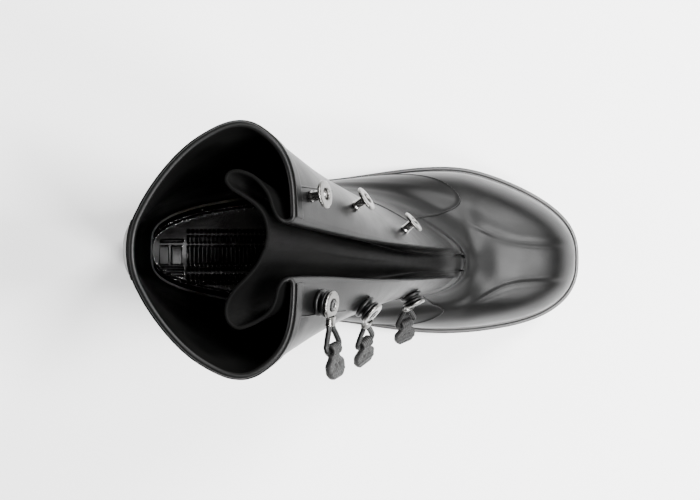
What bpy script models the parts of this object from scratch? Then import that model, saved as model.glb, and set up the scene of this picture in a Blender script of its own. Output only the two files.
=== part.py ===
"""A left rubber boot with a folded front gusset and three stud-and-loop closures.

Frame: metres, +Z up, +X to the toe, +Y to the outer (lateral) side, origin on the ground under the
middle of the heel. The upper is one smooth surface, a stack of rings from the sole's feather line to
the mouth; every sheet of the upper is a patch of it with its own thickness.
"""
import math

import bmesh
import bpy
from mathutils import Matrix, Vector

# ---- driving dimensions (metres) -------------------------------------------------------------------
GAP = 0.0003                # clearance between separate pieces
WALL = 0.0026               # wall of the foot and the shaft
GUSSET_WALL = 0.0018        # thinner sheet of the bellows
OVERLAY_LIFT = 0.0015       # underside of an overlay above the wall's faceted outside
OVERLAY = 0.0010            # thickness of an overlay panel
SOLE_EDGE = 0.0040          # how far the sole stands out past the feather line
OUTSOLE_TOP = 0.0140
CLEAT = 0.0035              # depth of the tread grooves
ARCH_HEIGHT = 0.0070
RAND_TOP = 0.0210
FILLER_TOP, BOARD_TOP, FOOTBED_TOP = 0.0172, 0.0194, 0.0235
THROAT = 6                  # ring where the gusset begins, at the instep
MOUTH = 11                  # top ring
COLUMNS = 56                # columns of points all the way round a ring

# Rings of the upper, bottom to top. Each one lies in the plane through its rear and front points.
# rear x, rear z, front x, front z, half widths at heel, waist and ball, rear and front roundness
# powers, sideways shift of the front
RINGS = (
    (-0.0280, 0.0146, 0.2597, 0.0146, 0.0420, 0.0436, 0.0570, 0.60, 0.76, -0.0061),
    (-0.0310, 0.0300, 0.2577, 0.0320, 0.0425, 0.0441, 0.0566, 0.60, 0.77, -0.0061),
    (-0.0325, 0.0430, 0.2513, 0.0480, 0.0420, 0.0438, 0.0549, 0.62, 0.80, -0.0061),
    (-0.0335, 0.0560, 0.2385, 0.0605, 0.0410, 0.0428, 0.0508, 0.64, 0.86, -0.0063),
    (-0.0335, 0.0680, 0.2160, 0.0675, 0.0395, 0.0410, 0.0445, 0.66, 0.92, -0.0070),
    (-0.0325, 0.0800, 0.1930, 0.0715, 0.0380, 0.0390, 0.0380, 0.68, 0.94, -0.0080),
    (-0.0310, 0.0940, 0.1725, 0.0860, 0.0375, 0.0385, 0.0335, 0.70, 1.00, -0.0080),
    (-0.0275, 0.1250, 0.1510, 0.1260, 0.0370, 0.0400, 0.0335, 0.75, 1.00, -0.0075),
    (-0.0210, 0.1700, 0.1300, 0.1700, 0.0370, 0.0430, 0.0370, 0.85, 0.98, -0.0065),
    (-0.0150, 0.2150, 0.1030, 0.2150, 0.0370, 0.0465, 0.0445, 0.95, 0.88, -0.0045),
    (-0.0098, 0.2500, 0.0788, 0.2500, 0.0350, 0.0476, 0.0532, 1.00, 0.62, -0.0015),
    (-0.0064, 0.2730, 0.0641, 0.2730, 0.0340, 0.0484, 0.0584, 0.94, 0.46, 0.0000),
)
# where along a ring its three half widths hold, as a fraction from rear to front
HEEL_AT, WAIST_AT, BALL_AT = 0.06, 0.42, 0.78
SHIFT_FROM = 0.70           # the sideways shift grows from here to the front

FOLD_GAP = 0.0009           # clearance between the end of a flap and the gusset's first fold
# half width of the gusset's opening, at the throat and at the mouth
GUSSET_HALF_THROAT = 0.0090
GUSSET_HALF_MOUTH = 0.0140
# The gusset's folds at the mouth, from its lateral to its medial edge: depth behind the front and
# sideways position. Each flap ends in a round turn, a pocket runs out behind it, and the tongue panel
# lies between the two pockets.
PLEATS = (
    (0.0000, 0.0140), (0.0016, 0.0119), (0.0050, 0.0113), (0.0082, 0.0134), (0.0103, 0.0174),
    (0.0126, 0.0238), (0.0174, 0.0296), (0.0228, 0.0324), (0.0272, 0.0326), (0.0289, 0.0302),
    (0.0268, 0.0272), (0.0218, 0.0240), (0.0166, 0.0202), (0.0132, 0.0158), (0.0114, 0.0105),
    (0.0112, 0.0050), (0.0126, -0.0005), (0.0158, -0.0070), (0.0206, -0.0128), (0.0254, -0.0178),
    (0.0286, -0.0235), (0.0284, -0.0292), (0.0250, -0.0322), (0.0205, -0.0312), (0.0160, -0.0290),
    (0.0115, -0.0254), (0.0092, -0.0206), (0.0080, -0.0158), (0.0054, -0.0122), (0.0020, -0.0116),
    (0.0000, -0.0140),
)
TONGUE_DEPTH = 0.0112       # the tongue panel's own depth, reached soon above the throat
TONGUE_POWER, POCKET_POWER = 5.0, 1.8
SPREAD_POWER = 2.6          # the pockets spread behind the flaps only near the mouth

# Closures, top to bottom: ring level and ring angle of each stud (lateral) and loop (medial)
STUDS = ((10.40, 2.925), (9.08, 2.630), (7.92, 2.690))
LOOPS = ((10.14, 2.915), (8.84, 2.620), (7.24, 2.560))
# how each loop hangs at rest: its turn from straight across the boot, and its bend off the wall
HANG_TURN = (math.radians(-3), math.radians(-22), math.radians(-22))
HANG_BEND = (math.radians(10), math.radians(22), math.radians(42))
WALL_HOLE = 0.0022          # radius of the holes for posts and rivets
SEAT = 0.0008               # first face above the wall, clear of its curvature
HEAD_LOW, HEAD_HIGH = 0.0066, 0.0084
PLATE_MID = 0.0062          # height of the swivel plate, ferrule, loop and tab over the wall
FERRULE_END = 0.0095
BAR_AT = 0.0205             # the loop's end bar, from the stud's axis
TAB_END = 0.0340
STRAND = 0.0013             # radius of a loop strand
BARREL = 0.0029
TURNED_STEPS = 14


# ---- scene and materials ---------------------------------------------------------------------------
def clear_scene():
    for old in list(bpy.data.objects):
        bpy.data.objects.remove(old, do_unlink=True)


def new_collection(name):
    collection = bpy.data.collections.new(name)
    bpy.context.scene.collection.children.link(collection)
    return collection


def material(name, colour, roughness, metallic=0.0):
    made = bpy.data.materials.new(name)
    made.use_nodes = True
    shader = made.node_tree.nodes["Principled BSDF"]
    shader.inputs["Base Color"].default_value = (*colour, 1.0)
    shader.inputs["Roughness"].default_value = roughness
    shader.inputs["Metallic"].default_value = metallic
    return made


clear_scene()
BOOT = new_collection("rubber_boot")
CUTTERS = new_collection("cutters")
RUBBER = material("rubber", (0.012, 0.012, 0.013), 0.30)
SOLE_RUBBER = material("sole_rubber", (0.020, 0.020, 0.020), 0.55)
FOOTBED = material("footbed_rubber", (0.015, 0.015, 0.016), 0.35)
METAL = material("nickel", (0.62, 0.61, 0.59), 0.30, 1.0)
STEEL = material("shank_steel", (0.45, 0.45, 0.46), 0.45, 1.0)
BOARD = material("insole_board", (0.30, 0.24, 0.17), 0.85)
TAB_RUBBER = material("tab_rubber", (0.022, 0.021, 0.021), 0.60)


# ---- the upper's surface ---------------------------------------------------------------------------
def hermite(low, high, slope_low, slope_high, share):
    """A smooth value between low and high, with the slopes it has at both."""
    rise = high - low
    bend = 3 * rise - 2 * slope_low - slope_high
    return low + share * (slope_low + share * (bend + share * (slope_low + slope_high - 2 * rise)))


def along_table(table, position):
    """Every column of the table at a fractional row, on a smooth curve through the rows."""
    last = len(table) - 1
    position = min(max(position, 0.0), float(last))
    row = min(int(position), last - 1)
    rows = [table[min(max(row + step, 0), last)] for step in (-1, 0, 1, 2)]
    return [hermite(low, high, (high - before) / 2, (after - low) / 2, position - row)
            for before, low, high, after in zip(*rows)]


def smooth(low, high, value):
    share = min(max((value - low) / (high - low), 0.0), 1.0)
    return share * share * (3 - 2 * share)


def half_width(along, heel, waist, ball):
    """Half width of a ring, level beyond the heel and the ball and on one smooth curve between."""
    along = min(max(along, HEEL_AT), BALL_AT)
    middle_slope = (ball - heel) / (BALL_AT - HEEL_AT)
    if along < WAIST_AT:
        span = WAIST_AT - HEEL_AT
        return hermite(heel, waist, waist - heel, middle_slope * span, (along - HEEL_AT) / span)
    span = BALL_AT - WAIST_AT
    return hermite(waist, ball, middle_slope * span, 0.0, (along - WAIST_AT) / span)


def upper_point(angle, level):
    """A point of the outer surface: angle 0 is the rear, pi the front, the lateral side positive."""
    (rear_x, rear_z, front_x, front_z, heel, waist, ball, rear_power, front_power,
     shift) = along_table(RINGS, level)
    along = (1 - math.cos(angle)) / 2
    side = math.sin(angle)
    power = rear_power + (front_power - rear_power) * along
    width = half_width(along, heel, waist, ball) * abs(side) ** power
    return Vector((rear_x + (front_x - rear_x) * along,
                   shift * smooth(SHIFT_FROM, 1.0, along) + math.copysign(width, side),
                   rear_z + (front_z - rear_z) * along))


def opening_angle(level, margin=0.0):
    """Angle between the front and the edge of the gusset's opening."""
    share = (level - THROAT) / (MOUTH - THROAT)
    half = GUSSET_HALF_THROAT + (GUSSET_HALF_MOUTH - GUSSET_HALF_THROAT) * share ** 2 + margin
    ball, power = along_table(RINGS, level)[6], along_table(RINGS, level)[8]
    return math.asin(min((half / ball) ** (1 / power), 1.0))


def fold_table():
    """PLEATS as share of the sheet's width, depth, and sideways distance from the unfolded sheet."""
    lengths = [0.0]
    for (depth, side), (next_depth, next_side) in zip(PLEATS, PLEATS[1:]):
        lengths.append(lengths[-1] + math.hypot(next_depth - depth, next_side - side))
    edge = opening_angle(MOUTH, -FOLD_GAP)
    table = []
    for length, (depth, side) in zip(lengths, PLEATS):
        share = length / lengths[-1]
        unfolded = upper_point(math.pi - edge + 2 * edge * share, MOUTH).y
        table.append((share, depth, side * (1 - FOLD_GAP / GUSSET_HALF_MOUTH) - unfolded))
    return table


FOLDS = fold_table()


def gusset_point(fold, level):
    """A point of the gusset's outer face: fold counts along FOLDS."""
    share, depth, offset = along_table(FOLDS, fold)
    rise = smooth_rise(level)
    tongue = min(depth, TONGUE_DEPTH)
    depth = (tongue * (1 - (1 - rise) ** TONGUE_POWER)
             + (depth - tongue) * (1 - (1 - rise) ** POCKET_POWER))
    # lower down, the tongue panel between the pockets takes more of the width
    share += (1 - rise) * math.sin(4 * math.pi * share) / (4 * math.pi)
    edge = opening_angle(level, -FOLD_GAP)
    base = upper_point(math.pi - edge + 2 * edge * share, level)
    ring = along_table(RINGS, level)
    inward = Vector((ring[0] - ring[2], 0, ring[1] - ring[3])).normalized()
    return base + inward * depth + Vector((0, offset * rise ** SPREAD_POWER, 0))


def gusset_normal(fold, level):
    """Its outward normal, which at both edges is the shaft wall's, so that their ends meet."""
    edge = opening_angle(level)
    if fold == 0:
        return normal_of(upper_point, math.pi - edge, level)
    if fold == len(FOLDS) - 1:
        return normal_of(upper_point, math.pi + edge, level)
    return normal_of(gusset_point, fold, level)


def smooth_rise(level):
    """Height above the throat as a fraction of the gusset's height."""
    low, high = RINGS[THROAT][3], RINGS[MOUTH][3]
    return max((along_table(RINGS, level)[3] - low) / (high - low), 0.0)


def normal_of(surface, first, second, step=0.01):
    """Outward unit normal of a surface whose first parameter runs from the lateral side forward."""
    ahead = surface(first + step, second) - surface(first - step, second)
    up = surface(first, second + step) - surface(first, second - step)
    return up.cross(ahead).normalized()


def even_angles(start, end, count):
    """Angles from start to end, closer together at the heel and the toe."""
    angles = []
    for index in range(count + 1):
        plain = start + (end - start) * index / count
        angles.append(plain - 0.16 * math.sin(2 * plain))
    return angles


# ---- makers of solids ------------------------------------------------------------------------------
def add_object(name, mesh, made_of, smooth_angle=0.6):
    mesh.materials.append(made_of)
    mesh.shade_smooth()
    mesh.set_sharp_from_angle(angle=smooth_angle)
    obj = bpy.data.objects.new(name, mesh)
    BOOT.objects.link(obj)
    return obj


def grid_solid(name, outer, inner, made_of, closed=False):
    """A sheet between two grids of points, outer[row][column] and inner[row][column]. Seen from
    outside, the columns run to the left and the rows upward."""
    rows, columns = len(outer), len(outer[0])
    mesh = bmesh.new()
    out, back = [[[mesh.verts.new(p) for p in row] for row in grid] for grid in (outer, inner)]
    spans = columns if closed else columns - 1
    for column in range(spans):
        after = (column + 1) % columns
        for row in range(rows - 1):
            mesh.faces.new((out[row][after], out[row][column], out[row + 1][column],
                            out[row + 1][after]))
            mesh.faces.new((back[row][column], back[row][after], back[row + 1][after],
                            back[row + 1][column]))
        mesh.faces.new((out[0][column], out[0][after], back[0][after], back[0][column]))
        mesh.faces.new((out[-1][after], out[-1][column], back[-1][column], back[-1][after]))
    if not closed:
        for row in range(rows - 1):
            mesh.faces.new((out[row + 1][0], out[row][0], back[row][0], back[row + 1][0]))
            mesh.faces.new((out[row][-1], out[row + 1][-1], back[row + 1][-1], back[row][-1]))
    data = bpy.data.meshes.new(name)
    mesh.to_mesh(data)
    mesh.free()
    return add_object(name, data, made_of)


def sheet(name, surface, firsts_of, levels, lift, thickness, made_of, closed=False, normal=None):
    """A patch of a surface with a thickness: its outer face stands lift + thickness over it."""
    outer, inner = [], []
    for level in levels:
        for_row = [(surface(first, level),
                    normal(first, level) if normal else normal_of(surface, first, level))
                   for first in firsts_of(level)]
        outer.append([point + out * (lift + thickness) for point, out in for_row])
        inner.append([point + out * lift for point, out in for_row])
    return grid_solid(name, outer, inner, made_of, closed)


def turned(name, profile, made_of, place, closed=False):
    """A turned piece: (radius, height) points down its outer side, on the place's Z axis."""
    data = bpy.data.meshes.new(name)
    points = [(radius, 0, height) for radius, height in profile]
    edges = [(index, index + 1) for index in range(len(points) - 1)]
    if closed:
        edges.append((len(points) - 1, 0))
    data.from_pydata(points, edges, [])
    obj = add_object(name, data, made_of)
    screw = obj.modifiers.new("turn", "SCREW")
    screw.steps = screw.render_steps = TURNED_STEPS
    screw.use_merge_vertices = True
    screw.merge_threshold = 0.00001
    screw.use_smooth_shade = True
    obj.parent = place
    return obj


def place_empty(name, matrix):
    empty = bpy.data.objects.new(name, None)
    empty.matrix_world = matrix
    BOOT.objects.link(empty)
    return empty


def cut(obj, cutter, operation="DIFFERENCE"):
    """A Boolean with a helper shape that isn't part of the boot."""
    if cutter.name not in CUTTERS.objects:
        for collection in list(cutter.users_collection):
            collection.objects.unlink(cutter)
        CUTTERS.objects.link(cutter)
    cutter.hide_render = True
    cutter.display_type = "WIRE"
    boolean = obj.modifiers.new(operation.lower(), "BOOLEAN")
    boolean.operation = operation
    boolean.solver = "EXACT"
    boolean.object = cutter


def cylinder(name, radius, length, matrix, steps=TURNED_STEPS):
    mesh = bmesh.new()
    bmesh.ops.create_cone(mesh, cap_ends=True, segments=steps, radius1=radius, radius2=radius,
                          depth=length)
    data = bpy.data.meshes.new(name)
    mesh.to_mesh(data)
    mesh.free()
    obj = bpy.data.objects.new(name, data)
    obj.matrix_world = matrix
    BOOT.objects.link(obj)
    return obj


def box(name, size, matrix, rounding=0.0):
    mesh = bmesh.new()
    bmesh.ops.create_cube(mesh, size=1.0)
    bmesh.ops.scale(mesh, vec=size, verts=mesh.verts)
    if rounding:
        bmesh.ops.bevel(mesh, geom=mesh.edges, offset=rounding, segments=2, affect="EDGES")
    data = bpy.data.meshes.new(name)
    mesh.to_mesh(data)
    mesh.free()
    obj = bpy.data.objects.new(name, data)
    obj.matrix_world = matrix
    BOOT.objects.link(obj)
    return obj


# ---- sole ------------------------------------------------------------------------------------------
def outline_point(angle, offset):
    """The feather line in plan, moved outward by offset."""
    here = upper_point(angle, 0)
    along = upper_point(angle + 0.01, 0) - upper_point(angle - 0.01, 0)
    outward = Vector((along.y, -along.x, 0)).normalized() * -1
    return here + outward * offset


def angle_at(x):
    """The ring angle whose point of the feather line lies at x."""
    rear, front = RINGS[0][0], RINGS[0][2]
    share = min(max((x - rear) / (front - rear), 0.0004), 0.9996)
    return math.acos(1 - 2 * share)


def slab(name, stations, offset, low_of, high_of, made_of):
    """A layer of the sole: cross-sections at the stations, with its own underside and top."""
    mesh = bmesh.new()
    sections = []
    for x in stations:
        angle = angle_at(x)
        lateral, medial = outline_point(angle, offset), outline_point(-angle, offset)
        corners = ((lateral, high_of(x)), (medial, high_of(x)), (medial, low_of(x)),
                   (lateral, low_of(x)))
        sections.append([mesh.verts.new((p.x, p.y, z)) for p, z in corners])
    for first, second in zip(sections, sections[1:]):
        for corner in range(4):
            after = (corner + 1) % 4
            mesh.faces.new((first[corner], second[corner], second[after], first[after]))
    mesh.faces.new(sections[0])
    mesh.faces.new(sections[-1][::-1])
    bmesh.ops.recalc_face_normals(mesh, faces=mesh.faces)
    data = bpy.data.meshes.new(name)
    mesh.to_mesh(data)
    mesh.free()
    return add_object(name, data, made_of, 0.3)


HEEL_BREAST = 0.056         # front of the heel
FOREFOOT = 0.104            # rear of the forefoot tread
TOE_SPRING_FROM, TOE_SPRING = 0.215, 0.005
GROOVE_PITCH, GROOVE, GROOVE_SLOPE = 0.0130, 0.0048, 0.0010


def tread_stations():
    """(x, depth of the underside) down the sole: cleats on heel and forefoot, a bare arch between."""
    rear, front = RINGS[0][0], RINGS[0][2]
    stations = [(rear, 0.0), (rear + 0.0015, 0.0), (rear + 0.004, 0.0)]
    for start, end in ((rear + 0.0075, HEEL_BREAST - 0.010), (FOREFOOT + 0.008, front - 0.012)):
        count = int((end - start) / GROOVE_PITCH)
        pitch = (end - start) / count
        for index in range(count):
            left = start + pitch * index
            stations += [(left, 0.0), (left + GROOVE_SLOPE, CLEAT),
                         (left + GROOVE - GROOVE_SLOPE, CLEAT), (left + GROOVE, 0.0)]
        if start < HEEL_BREAST:
            stations += [(HEEL_BREAST - 0.002, 0.0), (HEEL_BREAST + 0.002, ARCH_HEIGHT),
                         ((HEEL_BREAST + FOREFOOT) / 2, ARCH_HEIGHT),
                         (FOREFOOT - 0.002, ARCH_HEIGHT), (FOREFOOT + 0.002, 0.0)]
    stations += [(front - 0.006, 0.0), (front - 0.002, 0.0), (front, 0.0)]
    return stations


def toe_spring(x):
    return TOE_SPRING * smooth(TOE_SPRING_FROM, RINGS[0][2], x)


def make_outsole():
    depths = dict(tread_stations())
    slab("outsole", sorted(depths), SOLE_EDGE, lambda x: depths[x] + toe_spring(x),
         lambda x: OUTSOLE_TOP, SOLE_RUBBER)


def layer_stations(count=30):
    rear, front = RINGS[0][0], RINGS[0][2]
    return [rear + (front - rear) * (1 - math.cos(math.pi * index / count)) / 2
            for index in range(count + 1)]


def make_sole_layers():
    inside = -(WALL + 0.0006)
    filler_low, filler_high = OUTSOLE_TOP + GAP, FILLER_TOP
    filler = slab("midsole_filler", layer_stations(), inside, lambda x: filler_low,
                  lambda x: filler_high, SOLE_RUBBER)
    middle = Matrix.Translation((0.075, 0.001, (filler_low + filler_high) / 2))
    pocket = box("shank_pocket", (0.1066, 0.0166, 0.0100), middle)
    cut(filler, pocket)
    shank = box("shank", (0.1060, 0.0160, 0.0018), middle)
    shank.data.materials.append(STEEL)
    inside -= 0.0012
    slab("insole_board", layer_stations(), inside, lambda x: filler_high + GAP,
         lambda x: BOARD_TOP, BOARD)
    slab("footbed", layer_stations(), inside, lambda x: BOARD_TOP + GAP,
         lambda x: FOOTBED_TOP, FOOTBED)


def make_rand():
    """The strip round the sole's edge, from the outsole up the foot of the upper."""
    angles = even_angles(0, 2 * math.pi, COLUMNS)[:-1]
    low = OUTSOLE_TOP + GAP
    top_level = 0.40

    def section(angle):
        foot, head = outline_point(angle, 0.0004), upper_point(angle, top_level)
        outward = (outline_point(angle, 1.0) - outline_point(angle, 0.0)).normalized()
        head = head + outward * 0.0005
        rim = outline_point(angle, SOLE_EDGE)
        return [(rim, low), (rim, RAND_TOP - 0.0022), (rim - outward * 0.0007, RAND_TOP),
                (head, RAND_TOP), (foot, low)]

    mesh = bmesh.new()
    rings = [[mesh.verts.new((p.x, p.y, z)) for p, z in section(angle)] for angle in angles]
    for index, ring in enumerate(rings):
        after = rings[(index + 1) % len(rings)]
        for corner in range(len(ring)):
            follow = (corner + 1) % len(ring)
            mesh.faces.new((ring[corner], after[corner], after[follow], ring[follow]))
    bmesh.ops.recalc_face_normals(mesh, faces=mesh.faces)
    data = bpy.data.meshes.new("rand")
    mesh.to_mesh(data)
    mesh.free()
    add_object("rand", data, SOLE_RUBBER)


# ---- upper -----------------------------------------------------------------------------------------
JOIN = 0.010                # half the gap between foot and shaft, in ring levels


def shaft_angles(level):
    edge = math.pi - opening_angle(level, GAP / 2)
    inner = even_angles(-math.pi, math.pi, COLUMNS)
    return [-edge] + [a for a in inner if abs(a) < 2.78] + [edge]


def make_upper():
    ring = even_angles(0, 2 * math.pi, COLUMNS)[:-1]
    sheet("foot_shell", upper_point, lambda level: ring,
          (0.0, 0.4, 1.0, 2.0, 3.0, 3.5, 4.0, 4.5, 5.0, 5.5, THROAT - JOIN), -WALL, WALL, RUBBER,
          closed=True)
    shaft = sheet("shaft_shell", upper_point, shaft_angles,
                  (THROAT + JOIN, 6.5, 7.0, 8.0, 9.0, 10.0, MOUTH), -WALL, WALL, RUBBER)
    last = len(FOLDS) - 1
    folds = [0] + [index / 2 for index in range(6, 2 * last - 5)] + [last]
    sheet("front_gusset", gusset_point, lambda level: folds,
          (THROAT + JOIN, 6.5, 7.0, 8.0, 9.0, 10.0, MOUTH), -GUSSET_WALL, GUSSET_WALL, RUBBER,
          normal=gusset_normal)
    return shaft


BACK_STRIP_HALF = 0.30      # half its width, as a ring angle
BINDING_FROM = 10.72
# ring angle of each quarter panel's front edge at levels 0 to 8: it comes forward to a point at the
# instep and runs back up to the lowest stud
PANEL_FRONT = {
    "lateral": ((1.15,), (1.30,), (1.52,), (1.93,), (2.29,), (2.38,), (2.38,), (2.50,), (2.66,)),
    "medial": ((0.95,), (1.10,), (1.35,), (1.85,), (2.18,), (2.29,), (2.40,), (2.50,), (2.62,)),
}
PANEL_LEVELS = (0.8, 1.0, 1.5, 2.0, 2.5, 3.0, 3.5, 4.0, 4.5, 5.0, 5.5, 6.0, 6.5, 6.9)


def make_overlays():
    strip = [BACK_STRIP_HALF * (index / 3 - 1) for index in range(7)]
    sheet("back_strip", upper_point, lambda level: strip,
          (0.55, 1.0, 2.0, 3.0, 4.0, 5.0, 6.0, 7.0, 8.0, 9.0, 10.0, BINDING_FROM - 0.02),
          OVERLAY_LIFT, 0.0015, RUBBER)
    sheet("top_binding", upper_point, shaft_angles, (BINDING_FROM, MOUTH), OVERLAY_LIFT, 0.0009,
          RUBBER)
    ring = even_angles(0, 2 * math.pi, COLUMNS)
    rear = [BACK_STRIP_HALF + 0.04] + [a for a in ring if BACK_STRIP_HALF + 0.10 < a < 0.85]
    for side, word in ((1, "lateral"), (-1, "medial")):
        def angles(level, side=side, word=word):
            ahead = along_table(PANEL_FRONT[word], level)[0] - rear[-1]
            spread = [rear[-1] + ahead * index / 9 for index in range(1, 10)]
            return sorted(side * angle for angle in rear + spread)

        sheet(f"quarter_panel_{word}", upper_point, angles, PANEL_LEVELS, OVERLAY_LIFT, OVERLAY,
              RUBBER)


# ---- closures --------------------------------------------------------------------------------------
def closure_frame(angle, level, turn=0.0):
    """Origin on the wall, Z out of it, X along the wall: downward and across the boot, then turned."""
    origin, out = upper_point(angle, level), normal_of(upper_point, angle, level)
    hang = Vector((1, 0, 0)).cross(out).normalized()
    if hang.z > 0:
        hang.negate()
    across = out.cross(hang)
    upright = Matrix((hang, across, out)).transposed().to_4x4()
    return Matrix.Translation(origin) @ upright @ Matrix.Rotation(turn, 4, "Z")


def washer(name, place):
    low, high = -WALL - 0.0022, -WALL - 0.0010
    turned(name, ((0.0040, high), (0.0040, low), (0.0023, low), (0.0023, high)), METAL, place,
           closed=True)


def drill(shaft, name, frame):
    cut(shaft, cylinder(name, WALL_HOLE, 0.020, frame))


def make_stud(number, frame, shaft):
    place = place_empty(f"stud_place_{number}", frame)
    foot = -WALL - 0.0026
    turned(f"stud_post_{number}",
           ((0, HEAD_HIGH - 0.0008), (0.0013, HEAD_HIGH - 0.0008), (0.0016, HEAD_HIGH - 0.0012),
            (0.0016, HEAD_LOW - GAP), (0.0023, HEAD_LOW - GAP), (0.0023, SEAT + 0.0020),
            (0.0030, SEAT + 0.0016), (0.0030, SEAT), (0.0019, SEAT), (0.0019, foot), (0, foot)),
           METAL, place)
    turned(f"stud_head_{number}",
           ((0.0027, HEAD_HIGH), (0.0058, HEAD_HIGH), (0.0063, HEAD_HIGH - 0.0005),
            (0.0063, HEAD_LOW + 0.0005), (0.0058, HEAD_LOW), (0.0019, HEAD_LOW),
            (0.0019, HEAD_HIGH - 0.0010), (0.0027, HEAD_HIGH - 0.0010)), METAL, place, closed=True)
    washer(f"stud_washer_{number}", place)
    drill(shaft, f"stud_hole_{number}", frame)


def make_swivel_plate(number, place):
    low, high = PLATE_MID - 0.0009, PLATE_MID + 0.0009
    plate = turned(f"swivel_plate_{number}",
                   ((0.0033, high), (0.0059, high), (0.0063, high - 0.0004), (0.0063, low + 0.0004),
                    (0.0059, low), (0.0022, low), (0.0022, high - 0.0009),
                    (0.0033, high - 0.0009)), METAL, place, closed=True)
    length = FERRULE_END - 0.0050
    ferrule = box(f"ferrule_{number}", (length, 0.0066, 0.0036),
                  Matrix.Translation((FERRULE_END - length / 2, 0, PLATE_MID)), 0.0010)
    ferrule.parent = place
    cut(plate, ferrule, "UNION")


def loop_route(bend):
    """Half of the loop's centre line in its own plane, from the ferrule to the end bar's middle."""
    start = FERRULE_END + GAP + STRAND * math.sin(bend)
    return ((start, 0.0017), (start + 0.0015, 0.0018), (start + 0.0040, 0.0032),
            (BAR_AT - 0.0036, 0.0054), (BAR_AT - 0.0020, 0.0059), (BAR_AT - 0.0005, 0.0057),
            (BAR_AT, 0.0046), (BAR_AT, 0.0030), (BAR_AT, 0.0015), (BAR_AT, 0.0))


def make_loop(number, place, bend):
    half = loop_route(bend)
    route = list(half) + [(x, -y) for x, y in reversed(half[:-1])]
    data = bpy.data.curves.new(f"loop_{number}", "CURVE")
    data.dimensions = "3D"
    data.bevel_depth = STRAND
    data.bevel_resolution = 2
    data.use_fill_caps = True
    spline = data.splines.new("POLY")
    spline.points.add(len(route) - 1)
    for point, (x, y) in zip(spline.points, route):
        past = x - FERRULE_END
        point.co = (FERRULE_END + past * math.cos(bend), y, PLATE_MID + past * math.sin(bend), 1)
    obj = bpy.data.objects.new(f"loop_{number}", data)
    data.materials.append(RUBBER)
    BOOT.objects.link(obj)
    obj.parent = place


def tab_outline():
    """The tab's plan from the bar outward: narrow under the barrel, then a rounded paddle."""
    neck, half = 0.0034, 0.0072
    shoulder, length = 0.0050, TAB_END - BAR_AT
    side = [(0.0008, neck), (0.0030, neck), (shoulder - 0.0006, half - 0.0010),
            (shoulder + 0.0012, half)]
    corner = 0.0050
    for index in range(6):
        turn = math.pi / 2 * index / 5
        side.append((length - corner + corner * math.sin(turn), half - corner + corner * math.cos(turn)))
    return side + [(x, -y) for x, y in reversed(side)]


def make_tab(number, place, bend):
    thickness = 0.0026
    mesh = bmesh.new()
    face = mesh.faces.new([mesh.verts.new((x, y, -thickness / 2)) for x, y in tab_outline()])
    raised = bmesh.ops.extrude_face_region(mesh, geom=[face])["geom"]
    bmesh.ops.translate(mesh, vec=(0, 0, thickness),
                        verts=[item for item in raised if isinstance(item, bmesh.types.BMVert)])
    bmesh.ops.recalc_face_normals(mesh, faces=mesh.faces)
    data = bpy.data.meshes.new(f"pull_tab_{number}")
    mesh.to_mesh(data)
    mesh.free()
    tab = add_object(f"pull_tab_{number}", data, TAB_RUBBER)
    reach = BAR_AT - FERRULE_END
    bar = (FERRULE_END + reach * math.cos(bend), 0, PLATE_MID + reach * math.sin(bend))
    hinge = place_empty(f"tab_place_{number}",
                        Matrix.Translation(bar) @ Matrix.Rotation(-bend, 4, "Y"))
    hinge.parent = place
    tab.parent = hinge
    along_bar = Matrix.Rotation(math.pi / 2, 4, "X")
    barrel = cylinder(f"barrel_{number}", BARREL, 0.0074, along_bar, 16)
    barrel.parent = hinge
    cut(tab, barrel, "UNION")
    bore = cylinder(f"barrel_bore_{number}", STRAND + 0.0004, 0.0120, along_bar, 12)
    bore.parent = hinge
    cut(tab, bore)


def make_closure(number, frame, shaft, bend):
    place = place_empty(f"loop_place_{number}", frame)
    top = PLATE_MID - 0.0009 - GAP
    turned(f"flange_bushing_{number}",
           ((0.0023, top), (0.0060, top), (0.0060, top - 0.0014), (0.0042, top - 0.0018),
            (0.0042, SEAT + 0.0016), (0.0060, SEAT + 0.0012), (0.0060, SEAT), (0.0023, SEAT)),
           RUBBER, place, closed=True)
    make_swivel_plate(number, place)
    head = PLATE_MID + GAP
    foot = -WALL - 0.0026
    turned(f"rivet_{number}",
           ((0, head + 0.0008), (0.0024, head + 0.0008), (0.0029, head + 0.0004), (0.0029, head),
            (0.0018, head), (0.0018, foot), (0, foot)), METAL, place)
    washer(f"rivet_washer_{number}", place)
    make_loop(number, place, bend)
    make_tab(number, place, bend)
    drill(shaft, f"rivet_hole_{number}", frame)


# ---- the boot --------------------------------------------------------------------------------------
def main():
    make_outsole()
    make_sole_layers()
    make_rand()
    shaft = make_upper()
    make_overlays()
    for number, (level, angle) in enumerate(STUDS, 1):
        make_stud(number, closure_frame(angle, level), shaft)
    for number, (level, angle) in enumerate(LOOPS, 1):
        frame = closure_frame(-angle, level, HANG_TURN[number - 1])
        make_closure(number, frame, shaft, HANG_BEND[number - 1])


main()
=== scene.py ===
"""The looks of the left rubber boot: its moulded upper, sole, footbed, studs and pull-tab loops.

Metres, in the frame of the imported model: +X to the toe, +Y to the outer (lateral) side, +Z up.
"""
import math

import bmesh
import bpy
from mathutils import Matrix, Vector, noise


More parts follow.
